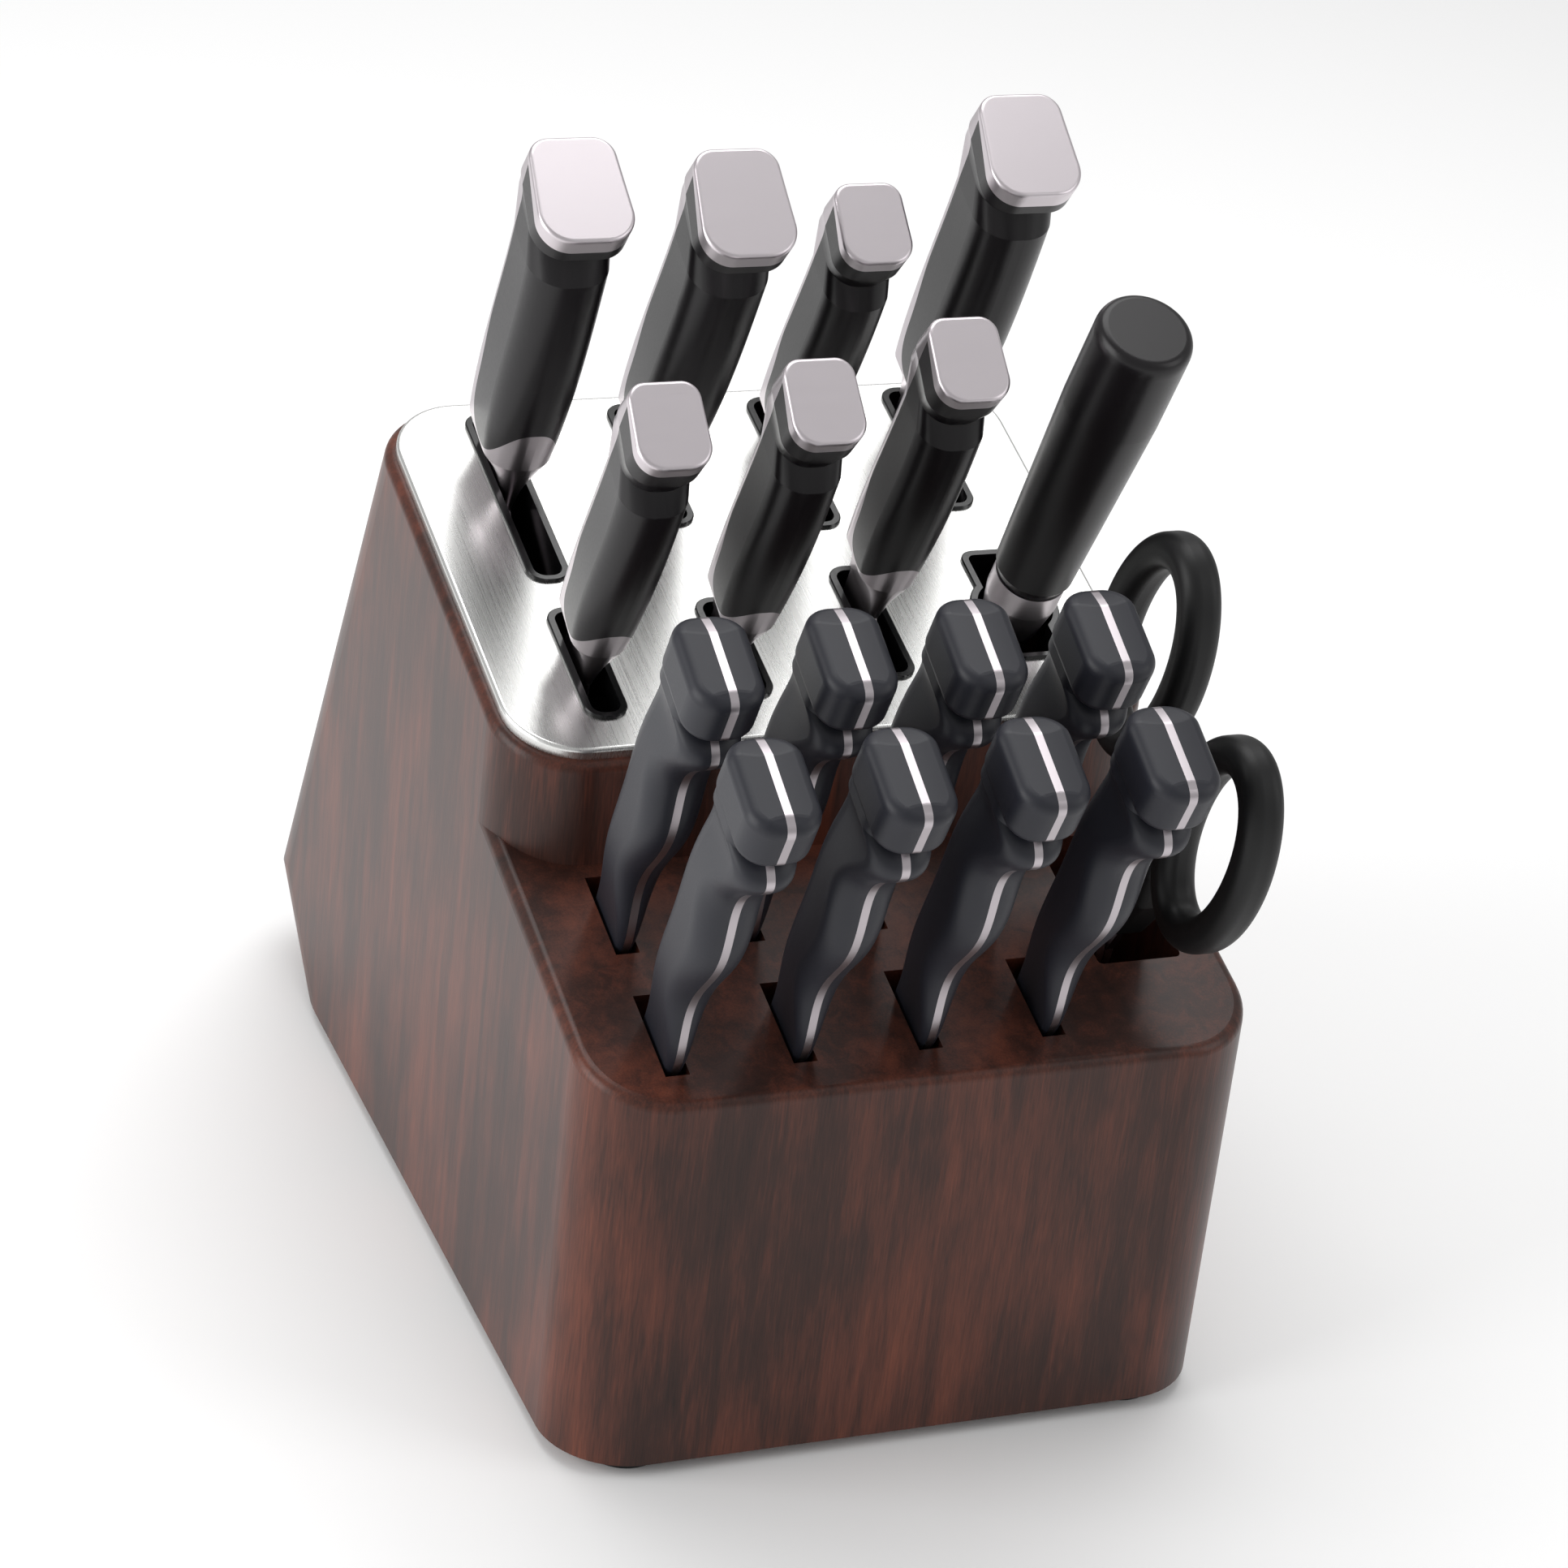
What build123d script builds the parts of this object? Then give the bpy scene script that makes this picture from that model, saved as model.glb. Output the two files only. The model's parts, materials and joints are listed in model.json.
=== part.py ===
from build123d import *
import os
from math import atan2, cos, degrees, radians, sin, tan

os.makedirs("parts", exist_ok=True)

# Knife block with seven kitchen knives, a honing steel, eight steak knives and shears.
# Frame: +X right, -Y toward the user, +Z up. The origin is the bottom centre of the
# whole set's bounding box, on the surface that the feet stand on. Millimetres.

# Wooden block
block_width = 170.0
corner_radius = 21.0
foot_height = 4.0
top_tilt = 15.5
tier_height = 100.0
step_y = 76.0
rim_height_at_step = 147.6
rear_top_y = 206.0
rear_low_y = 276.0
rear_low_z = 21.0
underside_depth = 250.0
edge_round = 3.0

# Steel top plate, a shallow tray turned down over a raised wooden pad
plate_ledge = 2.4
plate_rim = 3.0
plate_sheet = 1.2
plate_fit = 0.15

# Slot liners in the steel plate
slot_lean = 23.5
front_lean = 25.5
steel_lean = 27.0
column_pitch = 38.3
liner_wall = 0.9
liner_lip = 0.9
liner_lip_rise = 0.9
liner_depth = 28.0
slot_opening = 7.4
slot_corner = 3.0

# Feet and their screws
foot_radius = 10.0
foot_inset_x = 20.0
foot_inset_y = 14.0
screw_head_radius = 4.0
screw_radius = 1.9
screw_length = 16.0

# General clearances
blade_gap = 1.0
seat_gap = 0.3

# Steak knives and their slots in the lower tier
steak_pitch = 31.5
steak_slot_width = 6.0
steak_slot_length = 25.5
steak_rows = {"front": 10.0, "back": 48.0}
steak_handle_height = 101.0
steak_butt_width = 17.5
steak_spine = 20.0
steak_tang = 2.0
steak_blade_length = 108.0
steak_blade_thickness = 1.6

# Shears
shears_x = 62.5
shears_slot_y = 50.5
shears_slot_width = 22.0
shears_slot_length = 43.0
shears_blade_thickness = 2.0
shears_grip_thickness = 10.0
shears_pivot_depth = 15.0
shears_blade_length = 86.0

# Honing steel
steel_x = 58.6
steel_y = 115.2
steel_rod_radius = 6.2
steel_hole_radius = 9.7
steel_ferrule_radius = 9.3
steel_handle_length = 92.0
steel_rod_length = 160.0

tilt = radians(top_tilt)


def tier_z(y):
    return tier_height + y * tan(tilt)


def rim_z(y):
    return rim_height_at_step + (y - step_y) * tan(tilt)


def plate_z(y):
    return rim_z(y) + plate_rim / cos(tilt)


# The two handle sizes. Along the handle z = 0 is the lowest point of the grip's rounded
# lower end, s is the distance from the handle's axis, positive toward the spine.
large = {
    "length": 85.0, "bolster": 19.0, "thick": 20.6, "spine": 13.2, "belly": 13.0,
    "cap_width": 25.0, "cap_length": 29.0, "cap_corner": 8.0, "strip": 5.4,
    "blade": 2.4, "arch": 40.0, "band": 3.3,
}
small = {
    "length": 76.0, "bolster": 16.0, "thick": 16.9, "spine": 10.7, "belly": 10.7,
    "cap_width": 18.6, "cap_length": 22.0, "cap_corner": 6.2, "strip": 4.5,
    "blade": 2.0, "arch": 29.0, "band": 5.0,
}
cap_tilt = 14.0
cap_wedge = 7.5
cap_edge = 1.3
flare_height = 5.0
tang_half = 1.4

# Knives in the steel plate: column, axis position on the plate, rise of the grip's lower
# end above the plate, slot ends, blade length and width at the heel.
knives = {
    "chef": {"col": -1.5, "y": 178.4, "lean": 23.5, "rise": 12.4, "slot": (137.0, 196.0),
             "blade_l": 158.0, "blade_w": 45.0, "size": large, "shape": "chef"},
    "slicer": {"col": -0.5, "y": 177.9, "lean": 28.0, "rise": 14.8, "slot": (154.0, 197.0),
               "blade_l": 152.0, "blade_w": 24.0, "size": large, "shape": "slim"},
    "utility": {"col": 0.5, "y": 181.5, "lean": 28.5, "rise": 10.8, "slot": (150.0, 197.0),
                "blade_l": 132.0, "blade_w": 26.0, "size": small, "shape": "chef"},
    "bread": {"col": 1.5, "y": 183.4, "lean": 24.5, "rise": 20.0, "slot": (154.0, 198.0),
              "blade_l": 162.0, "blade_w": 33.0, "size": large, "shape": "bread"},
    "paring": {"col": -1.5, "y": 109.8, "lean": 28.5, "rise": 13.6, "slot": (89.0, 124.0),
               "blade_l": 88.0, "blade_w": 19.0, "size": small, "shape": "slim"},
    "boning": {"col": -0.5, "y": 112.5, "lean": 28.0, "rise": 15.6, "slot": (92.0, 124.0),
               "blade_l": 120.0, "blade_w": 19.0, "size": small, "shape": "slim"},
    "petty": {"col": 0.5, "y": 120.5, "lean": 27.5, "rise": 19.0, "slot": (95.0, 132.0),
              "blade_l": 114.0, "blade_w": 24.0, "size": small, "shape": "chef"},
}
spine_step = 1.6

# Glue joints between the block's four vertical boards, each clear of the slots.
board_joints = [-steak_pitch * 1.4, steak_pitch * 0.28, shears_x - shears_slot_width / 2]
steel_slot = (98.5, 134.5)
steel_slot_width = 12.0


def axis_place(x, y, z, lean):
    # Local +Z runs up a slot that leans toward the user; local +Y is the spine side.
    return Pos(x, y, z) * Rot(lean, 0, 0)


def plate_place(x, y):
    return Pos(x, y, plate_z(y)) * Rot(top_tilt, 0, 0)


def knife_place(name):
    k = knives[name]
    return axis_place(k["col"] * column_pitch, k["y"], plate_z(k["y"]), k["lean"])


def blade_spine(name):
    return knives[name]["size"]["spine"] - spine_step


def blade_place(name):
    # The blade hangs parallel to its slot from the spine side of the bolster's lower end.
    k = knives[name]
    spine = blade_spine(name)
    low = k["rise"] - k["size"]["bolster"]
    hang = Pos(0, spine, low) * Rot(slot_lean - k["lean"], 0, 0) * Pos(0, -spine, -low)
    return knife_place(name) * hang


def side_prism(points, half):
    # Closed outline in the YZ plane, pushed both ways along X.
    face = make_face(Polyline(*[(0, y, z) for y, z in points], close=True))
    return extrude(face, amount=half, dir=(1, 0, 0), both=True)


def rounded_box(width, length, radius, low, high):
    # Plan-rounded upright box whose front face lies on y = 0.
    sketch = Pos(0, length / 2, low) * RectangleRounded(width, length, radius)
    return extrude(sketch, amount=high - low)


def slot_sketch(y0, y1, width, corner, grow=0.0):
    # Rounded slot outline centred on x = 0 in the tilted plate plane.
    mid = (y0 + y1) / 2
    length = (y1 - y0) / cos(tilt)
    shape = RectangleRounded(width + 2 * grow, length + 2 * grow, corner + grow)
    return plate_place(0, mid) * shape


def keyhole_sketch(grow=0.0):
    mid = (steel_slot[0] + steel_slot[1]) / 2
    length = (steel_slot[1] - steel_slot[0]) / cos(tilt)
    shape = RectangleRounded(steel_slot_width + 2 * grow, length + 2 * grow, 2.0 + grow)
    bulge = Pos(0, (steel_y - mid) / cos(tilt)) * Circle(steel_hole_radius + grow)
    return plate_place(steel_x, mid) * (shape + bulge)


def liner_sketch(name, grow=0.0):
    if name == "steel":
        return keyhole_sketch(grow)
    k = knives[name]
    flat = slot_sketch(k["slot"][0], k["slot"][1], slot_opening, slot_corner, grow)
    return Pos(k["col"] * column_pitch, 0, 0) * flat


def slot_push(name, grow, up, down):
    # Pushes a liner outline, which lies in the plate plane, along its slot's lean.
    lean = radians(steel_lean if name == "steel" else slot_lean)
    direction = Vector(0, -sin(lean), cos(lean))
    sketch = liner_sketch(name, grow)
    solid = extrude(sketch, amount=down, dir=-direction)
    if up > 0:
        solid = solid + extrude(sketch, amount=up, dir=direction)
    return solid


def rounded_top(body, edges_wanted):
    # Rounds the outer edges of the single face that lies in the tilted top plane.
    up = Vector(0, -sin(tilt), cos(tilt))
    top = [f for f in body.faces() if (f.normal_at() - up).length < 0.01][0]
    return fillet([e for e in top.outer_wire().edges() if edges_wanted(e)], edge_round)


def wood_blank():
    rear = rear_low_y + 40
    lower = side_prism([(0, 0), (0, tier_height), (rear, tier_z(rear)), (rear, 0)], block_width)
    lower = lower & rounded_box(block_width, 3 * rear, corner_radius, -10, 400)
    lower = rounded_top(lower, lambda e: e.center().Y < rear - 1)
    upper = side_prism([(step_y - 1, 5), (step_y - 1, rim_z(step_y - 1)),
                        (rear, rim_z(rear)), (rear, 5)], block_width)
    upper = upper & (Pos(0, step_y, 0) * rounded_box(block_width, 3 * rear, corner_radius, -10, 400))
    high_rear = rear_prism((rear_low_y, rear_low_z), (rear_top_y, rim_z(rear_top_y)))
    low_rear = rear_prism((underside_depth, 0), (rear_low_y, rear_low_z))
    upper = rounded_top(upper & high_rear, lambda e: True)
    return (lower & high_rear & low_rear) + (upper & low_rear)


def rear_prism(low, high):
    # Prism along one rear face with rounded rear corners, long enough to miss the front.
    run = 600.0
    slope = Rot(degrees(atan2(high[1] - low[1], high[0] - low[0])) - 90, 0, 0)
    sketch = Pos(0, -run / 2, 0) * RectangleRounded(block_width, run, corner_radius)
    prism = extrude(sketch, amount=run, both=True)
    return Pos(0, low[0], low[1]) * slope * prism


def pad_outline(inset):
    y0 = step_y + plate_ledge + inset
    y1 = rear_top_y - plate_ledge - inset
    width = block_width - 2 * plate_ledge - 2 * inset
    mid = (y0 + y1) / 2
    length = (y1 - y0) / cos(tilt)
    sketch = RectangleRounded(width, length, corner_radius - plate_ledge - inset)
    return Pos(0, mid, rim_z(mid)) * Rot(top_tilt, 0, 0) * sketch


def steak_x(i):
    return (i - 2) * steak_pitch


def steak_place(row, i):
    y = steak_rows[row]
    return axis_place(steak_x(i), y, tier_z(y), front_lean)


def steak_slot():
    # The local origin is the front end of the slot, where the handle's belly enters it.
    depth = steak_blade_length + 16
    box = Box(steak_slot_width, steak_slot_length, depth + 20,
              align=(Align.CENTER, Align.MIN, Align.MAX))
    return Pos(0, -1.0, 20) * box


def shears_place():
    return axis_place(shears_x, shears_slot_y, tier_z(shears_slot_y), front_lean)


def shears_slot():
    depth = shears_pivot_depth + shears_blade_length + 8
    sketch = RectangleRounded(shears_slot_width, shears_slot_length, 1.5)
    return Pos(0, 0, -depth) * extrude(sketch, amount=depth + 30)


def steel_bore():
    low = Pos(0, 0, -steel_rod_length - 12)
    return low * Cylinder(steel_rod_radius + blade_gap, steel_rod_length + 40,
                          align=(Align.CENTER, Align.CENTER, Align.MIN))


def steel_place():
    return axis_place(steel_x, steel_y, plate_z(steel_y), steel_lean)


def blade_slot(name):
    # Deep slot in the wood, cut in the blade's own frame.
    k = knives[name]
    size = k["size"]
    thick = size["blade"] + 2 * blade_gap
    back = blade_spine(name) + 1.5
    front = blade_spine(name) - k["blade_w"] - 1.5
    depth = k["blade_l"] + size["bolster"] - k["rise"] + 5
    box = Box(thick, back - front, depth, align=(Align.CENTER, Align.MIN, Align.MAX))
    return Pos(0, front, 0) * box


def foot_points():
    x = block_width / 2 - foot_inset_x
    return [(sx * x, y) for sx in (-1, 1) for y in (foot_inset_y, underside_depth - foot_inset_y)]


def block_wood():
    body = wood_blank()
    pad = extrude(pad_outline(plate_sheet + plate_fit), amount=plate_rim - plate_sheet)
    body = body + pad
    for name in list(knives) + ["steel"]:
        body = body - slot_push(name, liner_wall + plate_fit, 20, liner_depth)
    for name in knives:
        body = body - blade_place(name) * blade_slot(name)
    body = body - steel_place() * steel_bore()
    for row in steak_rows:
        for i in range(4):
            body = body - steak_place(row, i) * steak_slot()
    body = body - shears_place() * shears_slot()
    for x, y in foot_points():
        body = body - Pos(x, y, 0) * Cylinder(screw_radius, 2 * (screw_length - 2))
    ends = [-block_width, *board_joints, block_width]
    boards = {}
    for i, (x0, x1) in enumerate(zip(ends, ends[1:])):
        slab = Pos((x0 + x1) / 2, 0, 0) * Box(x1 - x0, 900, 900)
        boards["block_board_" + str(i + 1)] = body & slab
    return boards


def top_plate():
    tray = extrude(pad_outline(0), amount=plate_rim)
    up = Vector(0, -sin(tilt), cos(tilt))
    top = [f for f in tray.faces() if (f.normal_at() - up).length < 0.01][0]
    tray = fillet(top.edges(), 1.0)
    tray = tray - extrude(pad_outline(plate_sheet), amount=plate_rim - plate_sheet)
    for name in list(knives) + ["steel"]:
        tray = tray - slot_push(name, liner_wall + plate_fit, 20, 20)
    return tray


def liner(name):
    up = Vector(0, -sin(tilt), cos(tilt))
    lip = extrude(liner_sketch(name, liner_wall + liner_lip), amount=liner_lip_rise, dir=up)
    lip = chamfer(lip.faces().sort_by(Axis((0, 0, 0), tuple(up)))[-1].edges(), 0.3)
    sleeve = slot_push(name, liner_wall, 0, liner_depth - 0.5)
    return lip + sleeve - slot_push(name, 0.0, 10, liner_depth + 5)


def feet():
    parts = []
    for x, y in foot_points():
        pad = Pos(x, y, -foot_height) * Cylinder(foot_radius, foot_height,
                                                 align=(Align.CENTER, Align.CENTER, Align.MIN))
        pad = fillet(pad.edges().group_by(Axis.Z)[0], 1.0)
        pad = pad - Pos(x, y, -foot_height) * Cylinder(screw_head_radius + seat_gap, 3.8)
        pad = pad - Pos(x, y, 0) * Cylinder(screw_radius + seat_gap, 3 * foot_height)
        parts.append(pad)
    return Compound(parts)


def foot_screws():
    parts = []
    for x, y in foot_points():
        head_z = -foot_height + 1.9
        head = Pos(x, y, head_z - 1.2) * Cylinder(screw_head_radius, 1.2,
                                                  align=(Align.CENTER, Align.CENTER, Align.MIN))
        shank = Pos(x, y, head_z) * Cylinder(screw_radius, screw_length - 4 - head_z,
                                             align=(Align.CENTER, Align.CENTER, Align.MIN))
        cross = Pos(x, y, head_z - 1.2) * (Box(4.2, 0.9, 1.2) + Box(0.9, 4.2, 1.2))
        parts.append(head + shank - cross)
    return Compound(parts)


def handle_section(thick, belly, spine, z):
    # Rounded section across the handle, rounder at the belly than at the spine.
    return Pos(0, 0, z) * shield(thick, thick, spine, belly, 0.3 * thick, 0.44 * thick)


def shield(thick, wide, spine, belly, r1, r2):
    # Outline across the handle, with its own width and rounding at the spine and the belly.
    corners = [(-thick / 2, spine), (-wide / 2, -belly), (wide / 2, -belly), (thick / 2, spine)]
    outline = Sketch() + make_face(Polyline(*corners, close=True))
    outline = fillet(outline.vertices().group_by(Axis.Y)[-1], r1)
    return fillet(outline.vertices().group_by(Axis.Y)[0], r2)


def cap_plane(size, turn=0.0, drop=0.0):
    # Tilted plane at the handle's end; it hinges on the spine edge and falls to the belly.
    spine = size["spine"]
    high = size["length"] + size["cap_length"] / 2 * sin(radians(cap_tilt)) - drop
    return Pos(0, spine, high) * Rot(cap_tilt + turn, 0, 0) * Pos(0, -spine, 0)


def cap_outline(size):
    return shield(size["thick"] + 0.6, size["cap_width"], size["spine"],
                  size["cap_length"] - size["spine"], size["thick"] * 0.27, size["cap_corner"])


def below_cap(size):
    # Everything under the cap's lower face, which makes the cap thicker at the belly.
    big = 300
    box = Box(big, big, big, align=(Align.CENTER, Align.CENTER, Align.MAX))
    return cap_plane(size, cap_wedge, cap_edge) * box


def flared_end(size, low):
    # From the plain handle section the end swells in a hollow curve into the cap's outline.
    t = size["thick"]
    sp = size["spine"]
    be = size["belly"]
    depth = cap_edge + size["cap_length"] * sin(radians(cap_wedge)) + size["band"]
    plane = cap_plane(size)
    plain = handle_section(t, be, sp, low)
    neck = plane * handle_section(t, be, sp, -depth - flare_height)
    wide = t + 0.3 * (size["cap_width"] - t)
    hollow = shield(t + 0.2, wide, sp, be + 0.5, 0.29 * t, 0.42 * t)
    hollow = plane * Pos(0, 0, -depth - 0.45 * flare_height) * hollow
    rim = plane * Pos(0, 0, -depth) * cap_outline(size)
    top = plane * cap_outline(size)
    return loft([plain, neck], ruled=True) + loft([neck, hollow, rim]) + loft([rim, top], ruled=True)


def handle_body(size):
    t = size["thick"]
    sp = size["spine"]
    be = size["belly"]
    low = -size["bolster"]
    high = size["length"] - 21
    rows = [
        (size["blade"] + 0.2, be * 0.72, sp - 0.1, low),
        (size["blade"] + 1.9, be * 0.76, sp - 0.1, low * 0.72),
        (t * 0.44, be * 0.86, sp, low * 0.36),
        (t * 0.86, be * 0.97, sp, -0.5),
        (t * 0.97, be + 0.4, sp, 0.16 * size["length"]),
        (t, be + 1.0, sp, 0.42 * size["length"]),
        (t, be, sp, high),
    ]
    sections = [handle_section(*row) for row in rows]
    return loft(sections[:4]) + loft(sections[3:]) + flared_end(size, high)


def grip_region(size):
    # Side outline of the black grip: rounded lower end, thin metal strip kept on the spine.
    sp = size["spine"] - size["strip"]
    be = size["belly"]
    arch = size["arch"]
    curve = Spline((0, sp, arch), (0, sp - 1.6, arch * 0.42), (0, sp * 0.35, 0.8),
                   (0, -be * 0.3, 0.3), (0, -be - 0.6, arch * 0.33),
                   tangents=((0, 0, -1), (0, -0.45, 1)))
    top = size["length"] + 60
    frame = Polyline((0, -be - 0.6, arch * 0.33), (0, -be - 30, arch * 0.33 + 2), (0, -be - 30, top),
                     (0, sp, top), (0, sp, arch))
    face = make_face(Curve() + [curve, frame])
    return extrude(face, amount=60, dir=(1, 0, 0), both=True)


def blade_profile(shape, spine, width, length, top, belly):
    # Side outline of the blade, tip down; top is where it joins the bolster.
    edge = spine - width
    tip = top - length
    if shape == "chef":
        run = Spline((0, edge, tip + 0.62 * length), (0, edge + 0.22 * width, tip + 0.28 * length),
                     (0, spine - 0.12 * width, tip), tangents=((0, 0, -1), (0, 0.8, -0.6)))
        pts = [(0, spine - 0.12 * width, tip), (0, spine, tip + 0.16 * length), (0, spine, top)]
    elif shape == "bread":
        run = Spline((0, edge, tip + 0.3 * length), (0, edge + 0.25 * width, tip + 0.07 * length),
                     (0, spine - 0.3 * width, tip), tangents=((0, 0, -1), (0, 0.9, -0.4)))
        pts = [(0, spine - 0.3 * width, tip), (0, spine, tip + 0.06 * length), (0, spine, top)]
    else:
        run = Spline((0, edge, tip + 0.45 * length), (0, edge + 0.2 * width, tip + 0.18 * length),
                     (0, spine - 0.05 * width, tip), tangents=((0, 0, -1), (0, 0.75, -0.65)))
        pts = [(0, spine - 0.05 * width, tip), (0, spine, tip + 0.06 * length), (0, spine, top)]
    rest = Polyline(*pts, (0, -belly, top), (0, -belly, top - 3), (0, edge, top - 9),
                    (0, edge, tip + {"chef": 0.62, "bread": 0.3}.get(shape, 0.45) * length))
    face = make_face(Curve() + [run, rest])
    return extrude(face, amount=10, dir=(1, 0, 0), both=True)


def wedge(thick, spine, edge, low, high):
    # Flat-ground blade section, full thickness at the spine and thin at the edge.
    keel = 0.22
    flat = spine - (spine - edge) * 0.25
    pts = [(-thick / 2, spine), (thick / 2, spine), (thick / 2, flat), (keel, edge),
           (-keel, edge), (-thick / 2, flat)]
    face = make_face(Polyline(*[(x, s, low) for x, s in pts], close=True))
    return extrude(face, amount=high - low, dir=(0, 0, 1))


def bread_teeth(size, name, top):
    k = knives[name]
    edge = blade_spine(name) - k["blade_w"]
    pitch = 6.0
    count = int((k["blade_l"] * 0.62) / pitch)
    cuts = []
    for i in range(count):
        z = top - 14 - i * pitch
        cuts.append(Pos(0, edge - 3.4, z) * Rot(0, 90, 0) * Cylinder(4.2, 12))
    return cuts


def kitchen_knife(name):
    # Local frame: z = 0 on the plate, so the grip's lower end is at the knife's rise.
    k = knives[name]
    size = k["size"]
    body = handle_body(size)
    sp = size["spine"]
    low = -size["bolster"]
    region = grip_region(size)
    under = below_cap(size)
    full = body & under
    metal = full - region
    tang_front = size["belly"] * 0.35
    tang = Box(2 * tang_half, sp + tang_front, size["length"] + 20,
               align=(Align.CENTER, Align.MIN, Align.MIN))
    pocket = Pos(0, -tang_front, -4) * tang
    tang = pocket & under
    spine_edge = blade_spine(name)
    heel = size["belly"] * 0.72
    blank = blade_profile(k["shape"], spine_edge, k["blade_w"], k["blade_l"], low + 3, heel)
    tip = low - k["blade_l"] - 5
    blank = blank & wedge(size["blade"], spine_edge, spine_edge - k["blade_w"], tip, low + 4)
    if k["shape"] == "bread":
        for cut in bread_teeth(size, name, low):
            blank = blank - cut
    hang = knife_place(name).inverse() * blade_place(name)
    blank = Pos(0, 0, -k["rise"]) * hang * Pos(0, 0, k["rise"]) * blank
    metal = metal + (tang & full) + blank
    grip = (full & region) - pocket
    cap = cap_plane(size) * Pos(0, 0, -12) * extrude(cap_outline(size), amount=12) - under
    normal = (0, -sin(radians(cap_tilt)), cos(radians(cap_tilt)))
    cap = fillet(cap.edges().group_by(Axis((0, 0, 0), normal))[-1], 1.0)
    place = knife_place(name) * Pos(0, 0, k["rise"])
    return {"blade": place * metal, "grip": place * grip, "cap": place * cap}


def steak_section(thick, front, back, radius, z):
    # Rounded section of the steak knife handle between s = front and s = back.
    shape = RectangleRounded(thick, back - front, radius)
    return Pos(0, (front + back) / 2, z) * shape


def steak_handle():
    # z = 0 is where the belly of the handle meets the tier; the lower end sits in the slot.
    sp = steak_spine
    h = steak_handle_height
    rows = [
        (3.4, 2.4, sp - 0.8, 1.2, -9.0),
        (4.4, 0.6, sp - 0.5, 1.8, -1.0),
        (7.6, 2.4, sp - 0.2, 3.0, 0.10 * h),
        (10.8, 4.3, sp, 4.2, 0.19 * h),
        (13.4, 2.4, sp, 5.4, 0.31 * h),
        (15.0, 0.2, sp, 6.0, 0.5 * h),
        (15.6, -0.4, sp, 6.2, 0.7 * h),
        (16.4, -0.6, sp + 0.2, 6.4, 0.85 * h),
    ]
    sections = [steak_section(*row) for row in rows]
    body = loft(sections)
    butt = steak_butt()
    neck = loft([sections[-1], steak_section(16.4, -0.6, sp + 0.2, 6.4, 0.9 * h)], ruled=True)
    return body + neck + butt


def steak_butt():
    # Convex butt with its hook toward the belly.
    sp = steak_spine + 0.6
    h = steak_handle_height
    outline = RectangleRounded(steak_butt_width, sp + 6.6, 7.0)
    stem = Pos(0, (sp - 6.6) / 2, 0.875 * h) * extrude(outline, amount=0.2 * h)
    crown = Pos(0, 5.5, h - 34.0) * Rot(0, 90, 0) * Cylinder(36.5, 60)
    dome = Pos(0, 5.5, h - 62.0) * Rot(90, 0, 0) * Cylinder(63.6, 80)
    stem = fillet(stem.edges().group_by(Axis.Z)[0], 2.6)
    butt = stem & crown & dome
    return fillet([e for e in butt.edges() if e.center().Z > 0.9 * h + 2], 3.0)


def steak_profile(grow):
    # Side outline of blade and tang, pushed through the handle's thickness.
    sp = steak_spine - 0.6
    low = -9.0 - steak_blade_length
    run = Spline((0, 3.2, low + 0.38 * steak_blade_length), (0, 8.0, low + 0.14 * steak_blade_length),
                 (0, sp - 1.0, low), tangents=((0, 0, -1), (0, 0.8, -0.5)))
    rest = Polyline((0, sp - 1.0, low), (0, sp, low + 9), (0, sp, -8.0), (0, 3.2, -8.0),
                    (0, 3.2, low + 0.38 * steak_blade_length))
    return extrude(make_face(Curve() + [run, rest]), amount=grow, dir=(1, 0, 0), both=True)


def steak_knife(row, i):
    body = steak_handle()
    blade = steak_profile(10) & wedge(steak_blade_thickness, steak_spine - 0.6, 3.2,
                                      -12.0 - steak_blade_length, -8.0)
    slab = Box(steak_tang, 200, 400)
    tang = body & slab
    scales = body - slab
    place = steak_place(row, i)
    return {"blade": place * (blade + tang), "scales": place * scales}


def honing_steel():
    r = steel_ferrule_radius
    grip = 1.09 * r
    swell = 1.3 * r
    h = steel_handle_length
    base = 13.0
    outline = Polyline((0, base), (0.96 * r, base), (grip, base + 3), (1.16 * r, base + 0.25 * h),
                       (swell, base + 0.7 * h), (swell, base + h - 4))
    nose = Spline((swell, base + h - 4), (swell - 0.8, base + h - 0.9), (swell - 2.6, base + h),
                  tangents=((0, 1), (-1, 0)))
    end = Polyline((swell - 2.6, base + h), (0, base + h), (0, base))
    handle = revolve(Plane.XZ * make_face(Curve() + [outline, nose, end]), Axis.Z)
    ring = Polyline((0, base - seat_gap), (r, base - seat_gap), (r, 5.0), (steel_rod_radius + 1.4, -6.0),
                    (0, -6.0), (0, base - seat_gap))
    ferrule = revolve(Plane.XZ * make_face(ring), Axis.Z)
    upright = (Align.CENTER, Align.CENTER, Align.MIN)
    rod_radius = steel_rod_radius
    rod = Pos(0, 0, -steel_rod_length) * Cylinder(rod_radius, steel_rod_length + 40, align=upright)
    tip = rod.edges().group_by(Axis.Z)[0]
    rod = chamfer(tip, 2.0)
    ferrule = ferrule - Pos(0, 0, -30) * Cylinder(rod_radius, 200, align=upright)
    handle = handle - Cylinder(rod_radius, 40, align=upright)
    place = steel_place() * Pos(0, 0, 2.0)
    return {"rod": place * rod, "ferrule": place * ferrule, "handle": place * handle}


# Shears: the two loops seen from the side, s toward the spine side and z up the axis.
shears_loops = {
    "front": {"s": -26.0, "z": 57.0, "rs": 20.5, "rz": 33.0, "hs": 11.0, "hz": 23.5, "side": -1},
    "back": {"s": 27.0, "z": 64.0, "rs": 21.5, "rz": 35.0, "hs": 12.0, "hz": 25.5, "side": 1},
}


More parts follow.
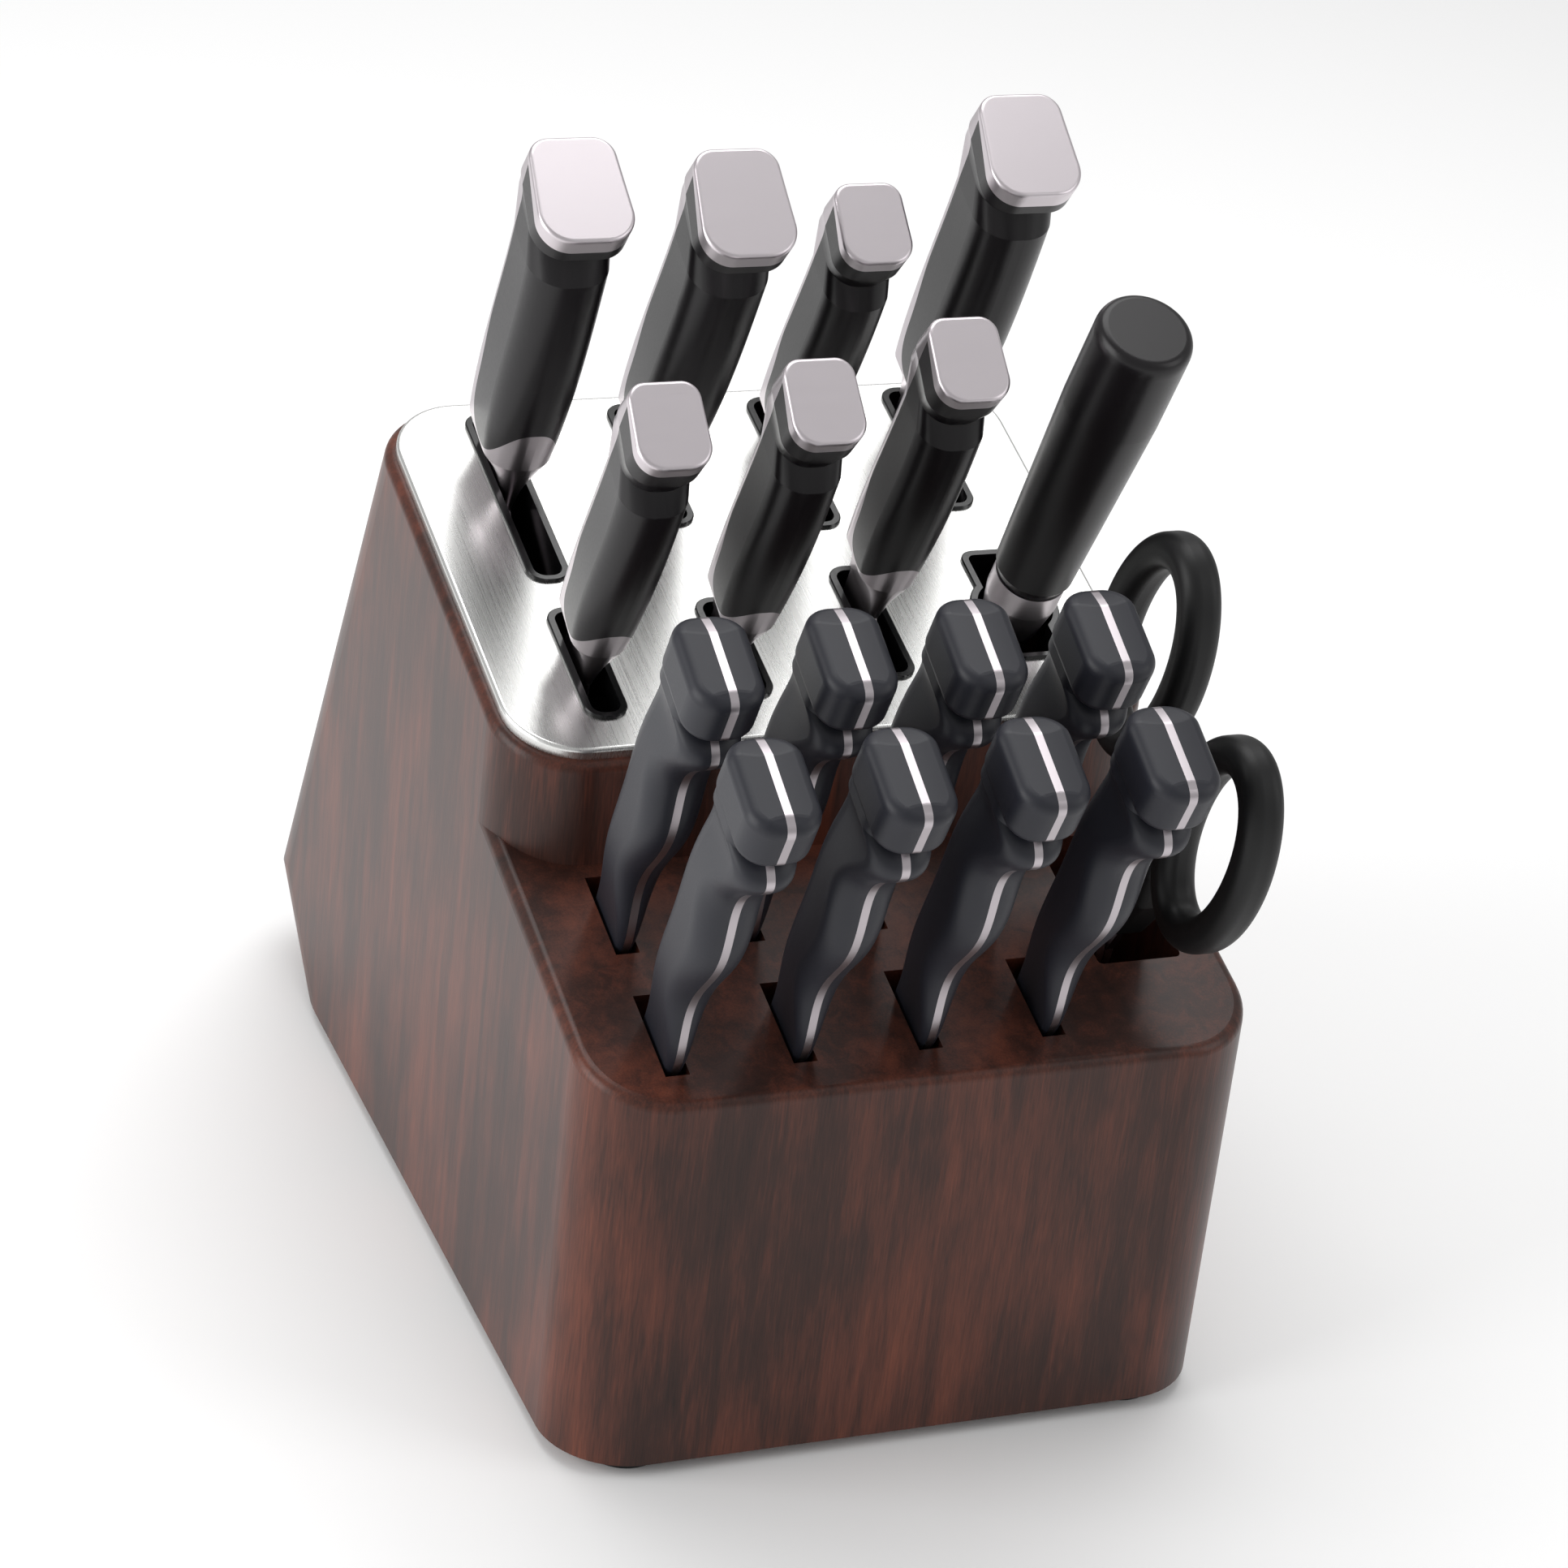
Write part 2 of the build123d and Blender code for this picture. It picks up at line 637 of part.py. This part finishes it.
def shears_handle(which):
    p = shears_loops[which]
    side = p["side"]
    half = shears_grip_thickness / 2
    flat = Ellipse(p["rs"], p["rz"]) - Ellipse(p["hs"], p["hz"])
    ring = extrude(Plane.YZ * Pos(p["s"], p["z"]) * flat, amount=half, both=True)
    ring = fillet([e for e in ring.edges() if abs(abs(e.center().X) - half) < 0.01], 3.8)
    points = [(1.6, 3), (1.6, 36), (10.0, 44), (16.0, 30), (17.5, 20), (13.0, 3)]
    shank = side_prism([(side * s, z) for s, z in points], half)
    shank = fillet([e for e in shank.edges() if abs(abs(e.center().X) - half) < 0.01], 2.2)
    clear = Ellipse(p["hs"] + 3.0, p["hz"] + 3.0)
    hole = extrude(Plane.YZ * Pos(p["s"], p["z"]) * clear, amount=half, both=True)
    return ring + (shank - hole)


def shears_blade(which):
    # Tang, pivot boss and blade; the blade lies on the far side of the axis from its tang.
    side = shears_loops[which]["side"]
    depth = shears_pivot_depth
    tip = -depth - shears_blade_length
    half = shears_blade_thickness / 2
    tang = [(3.0, 26), (10.0, 26), (10.0, 2), (7.5, -depth), (-5.0, -depth), (3.0, 2)]
    blade = [(6.0, -depth), (-8.0, -depth), (-9.5, -depth - 12), (-9.5, tip + 24),
             (-1.6, tip), (0.6, tip + 4), (0.6, -depth - 12)]
    flat = side_prism([(side * s, z) for s, z in tang], half)
    flat = flat + side_prism([(side * s, z) for s, z in blade], half)
    centre = Pos(0, 0, -depth) * Rot(0, 90, 0)
    flat = flat + centre * Cylinder(9.0, shears_blade_thickness)
    flat = flat - centre * Cylinder(3.0 + seat_gap, 40)
    return Pos(-side * (half + 0.15), 0, 0) * flat


def shears_pivot():
    depth = shears_pivot_depth
    reach = shears_blade_thickness + 0.15
    head = Pos(-reach - 0.9 - seat_gap, 0, -depth) * Rot(0, 90, 0) * Cylinder(5.5, 1.8)
    tail = Pos(reach + 0.7 + seat_gap, 0, -depth) * Rot(0, 90, 0) * Cylinder(4.6, 1.4)
    shank = Pos(0, 0, -depth) * Rot(0, 90, 0) * Cylinder(3.0, 2 * (reach + seat_gap))
    slot = Pos(-reach - 1.8 - seat_gap, 0, -depth) * Box(1.4, 8.0, 1.2)
    return head + shank + tail - slot


def shears():
    place = shears_place()
    parts = {"pivot": place * shears_pivot()}
    for which in shears_loops:
        blade = shears_blade(which)
        handle = shears_handle(which) - blade
        parts["blade_" + which] = place * blade
        parts["handle_" + which] = place * handle
    return parts


def everything():
    parts = block_wood()
    parts["top_plate"] = top_plate()
    for name in list(knives) + ["steel"]:
        parts["liner_" + name] = liner(name)
    parts["feet"] = feet()
    parts["foot_screws"] = foot_screws()
    for name in knives:
        for key, solid in kitchen_knife(name).items():
            parts[name + "_" + key] = solid
    for row in steak_rows:
        for i in range(4):
            for key, solid in steak_knife(row, i).items():
                parts["steak_" + row + "_" + str(i + 1) + "_" + key] = solid
    for key, solid in honing_steel().items():
        parts["steel_" + key] = solid
    for key, solid in shears().items():
        parts["shears_" + key] = solid
    return parts


def centred(parts):
    # Moves the set so the origin is the bottom centre of its bounding box.
    boxes = [p.bounding_box() for p in parts.values()]
    x = (min(b.min.X for b in boxes) + max(b.max.X for b in boxes)) / 2
    y = (min(b.min.Y for b in boxes) + max(b.max.Y for b in boxes)) / 2
    z = min(b.min.Z for b in boxes)
    return (-x, -y, -z)


if __name__ == "__main__":
    parts = everything()
    shift = Pos(*centred(parts))
    for name, shape in parts.items():
        export_step(shift * shape, "parts/" + name + ".step")
    print("nodes", len(parts))
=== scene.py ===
import json
import math

import bpy
from mathutils import Matrix, Vector


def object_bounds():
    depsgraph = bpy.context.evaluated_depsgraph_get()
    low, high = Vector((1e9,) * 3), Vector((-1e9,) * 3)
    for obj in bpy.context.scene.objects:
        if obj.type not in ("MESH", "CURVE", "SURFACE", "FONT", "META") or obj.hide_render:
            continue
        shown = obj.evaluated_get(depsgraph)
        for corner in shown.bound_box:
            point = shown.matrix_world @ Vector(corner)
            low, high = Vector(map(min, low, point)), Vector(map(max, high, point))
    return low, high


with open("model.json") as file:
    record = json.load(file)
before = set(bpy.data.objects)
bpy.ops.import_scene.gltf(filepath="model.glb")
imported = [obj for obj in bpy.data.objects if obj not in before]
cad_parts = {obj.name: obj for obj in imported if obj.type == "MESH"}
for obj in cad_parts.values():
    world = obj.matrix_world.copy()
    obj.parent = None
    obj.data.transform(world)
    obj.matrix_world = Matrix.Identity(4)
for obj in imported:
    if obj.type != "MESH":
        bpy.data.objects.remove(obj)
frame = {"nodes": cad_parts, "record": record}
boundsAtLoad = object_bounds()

mm = 0.001  # the frame is in metres, the sizes below are in mm
nodes = frame["nodes"]
slotOf = {part["node"]: part["material_slot"] for part in frame["record"]["subparts"]}


def toLinear(hexColour):
    # sRGB hex to the linear values that the shader sockets take
    channels = [int(hexColour[i:i + 2], 16) / 255 for i in (1, 3, 5)]
    return [c / 12.92 if c <= 0.04045 else ((c + 0.055) / 1.055) ** 2.4 for c in channels] + [1.0]


def addNode(material, kind, settings=None, **inputs):
    # one node with its settings, and each input's value or link: To_Min is the socket "To Min",
    # n2 is socket number 2
    node = material.node_tree.nodes.new(kind)
    for key, value in (settings or {}).items():
        setattr(node, key, value)
    for name, value in inputs.items():
        number = name.lstrip("n")
        socket = node.inputs[int(number)] if number.isdigit() else node.inputs[name.replace("_", " ")]
        if isinstance(value, bpy.types.NodeSocket):
            material.node_tree.links.new(value, socket)
        else:
            socket.default_value = value
    return node


def newMaterial(name, colour, **shader):
    material = bpy.data.materials.new(name)
    material.use_nodes = True
    base = material.node_tree.nodes["Principled BSDF"]
    base.inputs["Base Color"].default_value = toLinear(colour)
    for key, value in shader.items():
        base.inputs[key.replace("_", " ")].default_value = value
    return material, base


def patternNoise(material, size, detail, crumble, waver=0.0):
    # an uneven pattern whose marks are size mm long in x, y and z
    where = addNode(material, "ShaderNodeTexCoord")
    scaled = addNode(material, "ShaderNodeMapping", Vector=where.outputs["Object"],
                     Scale=tuple(1 / (length * mm) for length in size))
    noise = addNode(material, "ShaderNodeTexNoise", Vector=scaled.outputs[0], Scale=1.0,
                    Detail=detail, Roughness=crumble, Distortion=waver)
    return noise.outputs[0]


def finishSurface(material, base, height, strength, depth, colour=None, roughness=None):
    # the pattern's relief, and what it does to the colour and the roughness
    links = material.node_tree.links
    if colour:
        links.new(colour, base.inputs["Base Color"])
    if roughness:
        links.new(roughness, base.inputs["Roughness"])
    bump = addNode(material, "ShaderNodeBump", Strength=strength, Distance=depth * mm, Height=height)
    links.new(bump.outputs[0], base.inputs["Normal"])
    return material


print("materials")

# Stained and lacquered walnut: reddish brown streaks run up the boards under a satin film, which
# lays a soft grey sheen over faces that catch the light. Pores are drawn a little coarse to show.
walnut = {
    "name": "stainedWalnut",
    "stain": [(0.34, "#23130f"), (0.46, "#391f18"), (0.56, "#562d21"), (0.7, "#733d2b")],
    "streak": (5.0, 5.0, 55.0), "streakDetail": 5.0, "streakCrumble": 0.62, "streakWaver": 0.6,
    "cloud": (34.0, 34.0, 68.0), "cloudDetail": 3.0, "cloudCrumble": 0.5, "cloudShare": 0.55,
    "pore": (0.5, 0.5, 9.0), "poreDetail": 2.0, "poreCrumble": 0.6, "poreShare": 0.2,
    "poreStrength": 0.12, "poreDepth": 0.2,
    "roughness": 0.38, "specular": 0.3, "ior": 1.5, "film": 0.12, "filmRoughness": 0.28,
}


def makeWalnut():
    middleStain = walnut["stain"][1][1]
    material, base = newMaterial(walnut["name"], middleStain, Roughness=walnut["roughness"],
                                 Specular_IOR_Level=walnut["specular"], IOR=walnut["ior"],
                                 Coat_Weight=walnut["film"], Coat_Roughness=walnut["filmRoughness"])
    streaks = patternNoise(material, walnut["streak"], walnut["streakDetail"], walnut["streakCrumble"],
                           walnut["streakWaver"])
    clouds = patternNoise(material, walnut["cloud"], walnut["cloudDetail"], walnut["cloudCrumble"])
    pores = patternNoise(material, walnut["pore"], walnut["poreDetail"], walnut["poreCrumble"])
    broad = addNode(material, "ShaderNodeMix", {"data_type": "FLOAT"}, Factor=walnut["cloudShare"],
                    n2=streaks, n3=clouds)
    figure = addNode(material, "ShaderNodeMix", {"data_type": "FLOAT"}, Factor=walnut["poreShare"],
                     n2=broad.outputs[0], n3=pores)
    stain = addNode(material, "ShaderNodeValToRGB", Fac=figure.outputs[0])
    stops = stain.color_ramp.elements
    while len(stops) < len(walnut["stain"]):
        stops.new(0.5)
    for stop, (place, colour) in zip(stops, walnut["stain"]):
        stop.position = place
        stop.color = toLinear(colour)
    return finishSurface(material, base, pores, walnut["poreStrength"], walnut["poreDepth"],
                         colour=stain.outputs["Color"])


# Metals, by the frame's slot: marks is the size of the tool marks in x, y and z. Real ones are
# near 0.05 mm apart and are drawn coarser so that they show.
metalWork = {"metallic": 1.0, "detail": 3.0, "crumble": 0.7, "depth": 0.1}
metals = {
    # stainless sheet, brushed front to back: long fine lines that draw reflections out along them
    "brushed_steel_plate": {"name": "brushedStainlessSheet", "colour": "#e4e4e2",
                            "marks": (0.35, 60.0, 60.0), "roughness": (0.2, 0.36), "bump": 0.08},
    # zinc-plated mild steel: a flat light grey under the feet
    "screw_steel": {"name": "zincPlatedSteel", "colour": "#a9abad",
                    "marks": (0.3, 0.3, 0.3), "roughness": (0.3, 0.45), "bump": 0.08},
    # hardened steel drawn with fine lengthwise ridges: a grey sheen in lines along the rod
    "rod_steel": {"name": "ridgedSteel", "colour": "#9a9b9d",
                  "marks": (0.5, 0.5, 60.0), "roughness": (0.3, 0.45), "bump": 0.5},
    # forged stainless, satin polished: soft pale faces with a faint warm lavender cast in the base colour, a
    # painted reflection of the surroundings' colour
    "handle_metal": {"name": "satinForgedSteel", "colour": "#d3ccd0",
                     "marks": (14.0, 0.25, 0.25), "roughness": (0.3, 0.42), "bump": 0.04},
    # ground and polished stainless: darker than the forged parts, with a fine even grit
    "blade_steel": {"name": "groundBladeSteel", "colour": "#bdb6ba",
                    "marks": (12.0, 0.25, 0.25), "roughness": (0.26, 0.38), "bump": 0.05},
}

# Moulded plastics and rubbers: marks is the grit of the mould, which breaks up the highlight.
mouldWork = {"metallic": 0.0, "detail": 2.0, "crumble": 0.5, "depth": 0.05}
mouldings = {
    # a black sleeve lining the slots, painted shade standing in for the shadow deep in the slot holes:
    # injection moulded ABS with a polished mould face, hard small highlights on the slot lips
    "black_liner": {"name": "shadeBlackSlotLiner", "colour": "#0c0c0d",
                    "marks": (0.8, 0.8, 0.8), "roughness": (0.11, 0.21), "bump": 0.02},
    # natural rubber, moulded: dull and dark under the block
    "foot_rubber": {"name": "mouldedRubber", "colour": "#141414",
                    "marks": (0.6, 0.6, 0.6), "roughness": (0.65, 0.75), "bump": 0.2},
    # glass-filled resin, moulded and tumbled: satin black with broad soft highlights
    "black_resin": {"name": "satinResin", "colour": "#110e11", "specular": 0.38,
                    "marks": (0.7, 0.7, 0.7), "roughness": (0.27, 0.37), "bump": 0.05},
    # thermoplastic rubber over a stiff core: black with no clear reflections
    "soft_grip": {"name": "softTouchRubber", "colour": "#0f0f10", "specular": 0.35,
                  "marks": (0.5, 0.5, 0.5), "roughness": (0.43, 0.53), "bump": 0.1},
    # acetal, moulded with a fine matt texture: blue-grey black in soft light
    "steakScales": {"name": "mattAcetal", "colour": "#1f2028", "specular": 0.42,
                    "marks": (0.4, 0.4, 0.4), "roughness": (0.4, 0.5), "bump": 0.08},
}
plainSpecular = 0.5


def makeSurface(look, work):
    smoothest, roughest = look["roughness"]
    material, base = newMaterial(look["name"], look["colour"], Metallic=work["metallic"],
                                 Roughness=(smoothest + roughest) / 2,
                                 Specular_IOR_Level=look.get("specular", plainSpecular))
    marks = patternNoise(material, look["marks"], work["detail"], work["crumble"])
    rough = addNode(material, "ShaderNodeMapRange", Value=marks, To_Min=smoothest, To_Max=roughest)
    return finishSurface(material, base, marks, look["bump"], work["depth"], roughness=rough.outputs[0])


finishes = {"stained_wood": makeWalnut()}
for slot, look in metals.items():
    finishes[slot] = makeSurface(look, metalWork)
for slot, look in mouldings.items():
    finishes[slot] = makeSurface(look, mouldWork)

for name, node in nodes.items():
    isSteakScale = name.startswith("steak_") and name.endswith("_scales")
    finish = finishes["steakScales" if isSteakScale else slotOf[name]]
    if not node.material_slots:
        node.data.materials.append(finish)
    for place in node.material_slots:
        place.material = finish

print("stage and light")

# a wide sheet of mat white paper in a soft white room, lengths in metres
stage = {"paper": "#ffffff", "paperRoughness": 0.9, "reach": 6.0, "room": "#ffffff", "roomStrength": 0.5}
floorHeight = boundsAtLoad[0][2]

bpy.ops.mesh.primitive_plane_add(size=stage["reach"], location=(0, 0, floorHeight))
floor = bpy.context.object
floor.name = "floor"
paper, paperBase = newMaterial("matPaper", stage["paper"], Roughness=stage["paperRoughness"])
floor.data.materials.append(paper)

world = bpy.data.worlds.new("softRoom")
bpy.context.scene.world = world
world.use_nodes = True
background = world.node_tree.nodes["Background"]
background.inputs["Color"].default_value = toLinear(stage["room"])
background.inputs["Strength"].default_value = stage["roomStrength"]

# soft boxes, all turned to the middle of the block: place and size in metres, power in watts
boxAim = Vector((0, 0, 0.15))
softBoxes = {
    "left": {"place": (-1.3, -0.1, 0.55), "size": (1.0, 1.0), "power": 11},
    "top": {"place": (0.1, 0.5, 1.6), "size": (1.4, 1.0), "power": 14},
    "right": {"place": (1.2, -0.9, 0.9), "size": (0.7, 1.2), "power": 4},
}
for name, box in softBoxes.items():
    lamp = bpy.data.lights.new(name, "AREA")
    lamp.shape = "RECTANGLE"
    lamp.size, lamp.size_y = box["size"]
    lamp.energy = box["power"]
    lampObject = bpy.data.objects.new(name, lamp)
    bpy.context.collection.objects.link(lampObject)
    lampObject.location = box["place"]
    lampObject.rotation_euler = (boxAim - Vector(box["place"])).to_track_quat("-Z", "Y").to_euler()

print("camera")

# place and near in metres, lens and sensor in mm, then degrees: azimuth turns right from +y,
# drop looks down and roll tips the camera
view = {"place": (-0.4143, -0.9497, 0.6535), "azimuth": 23.72, "drop": 27.27, "roll": -6.64,
        "lens": 106.5, "sensor": 36.0, "near": 0.01}
azimuth, drop, roll = (math.radians(view[key]) for key in ("azimuth", "drop", "roll"))
ahead = Vector((math.sin(azimuth) * math.cos(drop), math.cos(azimuth) * math.cos(drop), -math.sin(drop)))
levelRight = ahead.cross(Vector((0, 0, 1))).normalized()
levelDown = ahead.cross(levelRight)
right = levelRight * math.cos(roll) + levelDown * math.sin(roll)
down = levelDown * math.cos(roll) - levelRight * math.sin(roll)

lensData = bpy.data.cameras.new("camera")
lensData.lens = view["lens"]
lensData.sensor_width = view["sensor"]
lensData.clip_start = view["near"]
camera = bpy.data.objects.new("camera", lensData)
bpy.context.collection.objects.link(camera)
camera.matrix_world = Matrix.Translation(view["place"]) @ Matrix((right, -down, -ahead)).transposed().to_4x4()
bpy.context.scene.camera = camera
bpy.context.scene.view_settings.view_transform = "Standard"
